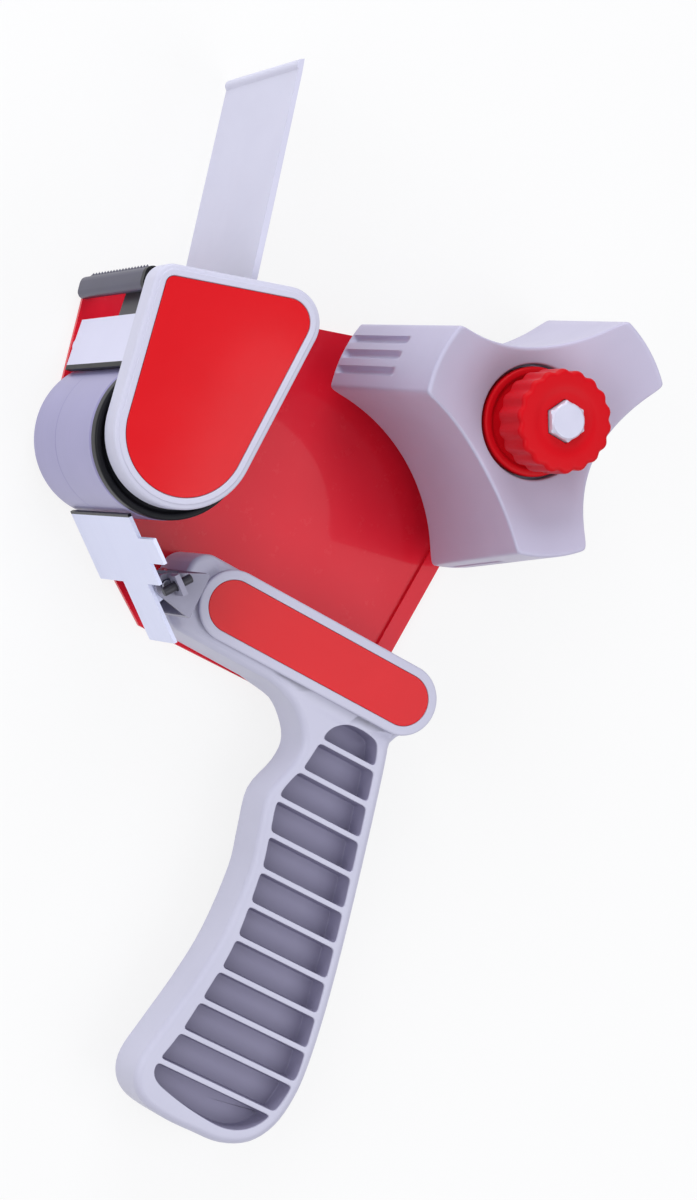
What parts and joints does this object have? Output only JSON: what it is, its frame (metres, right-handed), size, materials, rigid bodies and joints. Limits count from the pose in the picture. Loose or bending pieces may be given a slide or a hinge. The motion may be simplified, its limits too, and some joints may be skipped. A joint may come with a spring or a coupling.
{
  "type": "tape gun dispenser",
  "caption": "Hand tape gun with a red side plate, ribbed pistol grip, three-armed tape hub with a brake knob, rubbing roller, cutter blade, wiper flap and spring retainer.",
  "frame": {"origin": "middle of the bounding box on the floor plane, which is the outer face of the side plate", "axes": "+X runs back along the barrel, +Y is up when the gun is held, +Z points out of the side plate along the hub and roller axes"},
  "size_m": [0.1572, 0.272, 0.0806],
  "materials": {
    "red_paint": "glossy red paint on pressed sheet",
    "white_moulding": "white moulded plastic with a soft sheen",
    "red_moulding": "glossy red moulded plastic",
    "red_label": "glossy red label, left bare",
    "bright_steel": "plain bright steel",
    "blade_steel": "ground blade steel",
    "plated_sheet": "pale plated sheet",
    "dark_steel": "dark painted steel",
    "roller_grey": "satin grey tube",
    "black_moulding": "glossy black moulded plastic",
    "flap_plastic": "springy grey-white sheet",
    "bush_plastic": "plain bearing plastic",
    "friction_pad": "matt friction pad"
  },
  "bodies": {
    "frame": {"side_plate": "red_paint", "handle": "white_moulding", "front_cover": "white_moulding", "front_bridge": "white_moulding", "brake_disc": "red_moulding", "cover_label": "red_label", "barrel_label": "red_label", "bridge_screw_far": "bright_steel", "bridge_screw_near": "bright_steel", "wiper_bar": "bright_steel", "wiper_rivet_1": "bright_steel", "wiper_rivet_2": "bright_steel", "cover_screw_1": "bright_steel", "cover_screw_2": "bright_steel", "roller_axle": "bright_steel", "axle_nut": "bright_steel", "retainer_pin": "bright_steel", "bracket_screw_1": "bright_steel", "bracket_screw_2": "bright_steel", "hub_spindle": "bright_steel", "brake_spring": "bright_steel", "handle_screw_1": "bright_steel", "handle_screw_2": "bright_steel", "handle_screw_3": "bright_steel", "blade_holder": "blade_steel", "cutter_blade": "blade_steel", "retainer_bracket": "plated_sheet", "near_frame": "dark_steel", "stop_screw": "dark_steel", "retainer_spring": "dark_steel", "blade_end_cap": "black_moulding", "wiper_root": "flap_plastic", "friction_washer": "friction_pad"},
    "hub": {"tape_hub": "white_moulding", "hub_bush": "bush_plastic"},
    "roller": {"roller_drum": "roller_grey", "roller_far_end": "bush_plastic", "roller_black_end": "black_moulding", "roller_bush_far": "bush_plastic", "roller_bush_near": "bush_plastic"},
    "retainer": {"retainer_plate": "plated_sheet"},
    "wiper": {"wiper_blade": "flap_plastic"},
    "brake_feed": {"thrust_washer": "bright_steel"},
    "knob": {"brake_knob": "red_moulding", "knob_bolt": "bright_steel"}
  },
  "joints": [
    {"name": "hub_spin", "type": "hinge", "parent": "frame", "child": "hub", "pos_m": [0.04047, 0.08188, 0.03], "axis": [0, 0, 1], "continuous": true},
    {"name": "roller_spin", "type": "hinge", "parent": "frame", "child": "roller", "pos_m": [-0.05123, 0.02738, 0.03], "axis": [0, 0, 1], "continuous": true},
    {"name": "retainer_swing", "type": "hinge", "parent": "frame", "child": "retainer", "pos_m": [-0.03013, -0.00592, 0.03], "axis": [0, 0, 1], "range_deg": [0, 12], "stiffness_Nm_per_rad": 0.3},
    {"name": "wiper_flex", "type": "hinge", "parent": "frame", "child": "wiper", "pos_m": [-0.05196, 0.08264, 0.03], "axis": [0, 0, 1], "range_deg": [-35, 10], "stiffness_Nm_per_rad": 0.2},
    {"name": "knob_feed", "type": "slide", "parent": "frame", "child": "brake_feed", "axis": [0, 0, 1], "range_m": [-0.001, 0.002], "deforming": ["brake_spring"]},
    {"name": "knob_turn", "type": "hinge", "parent": "brake_feed", "child": "knob", "pos_m": [0.04047, 0.08188, 0.03], "axis": [0, 0, 1], "range_deg": [-361, 721]}
  ],
  "couplings": [
    {"joint": "knob_turn", "follows": "knob_feed", "rad_per_m": 6283.2}
  ]
}
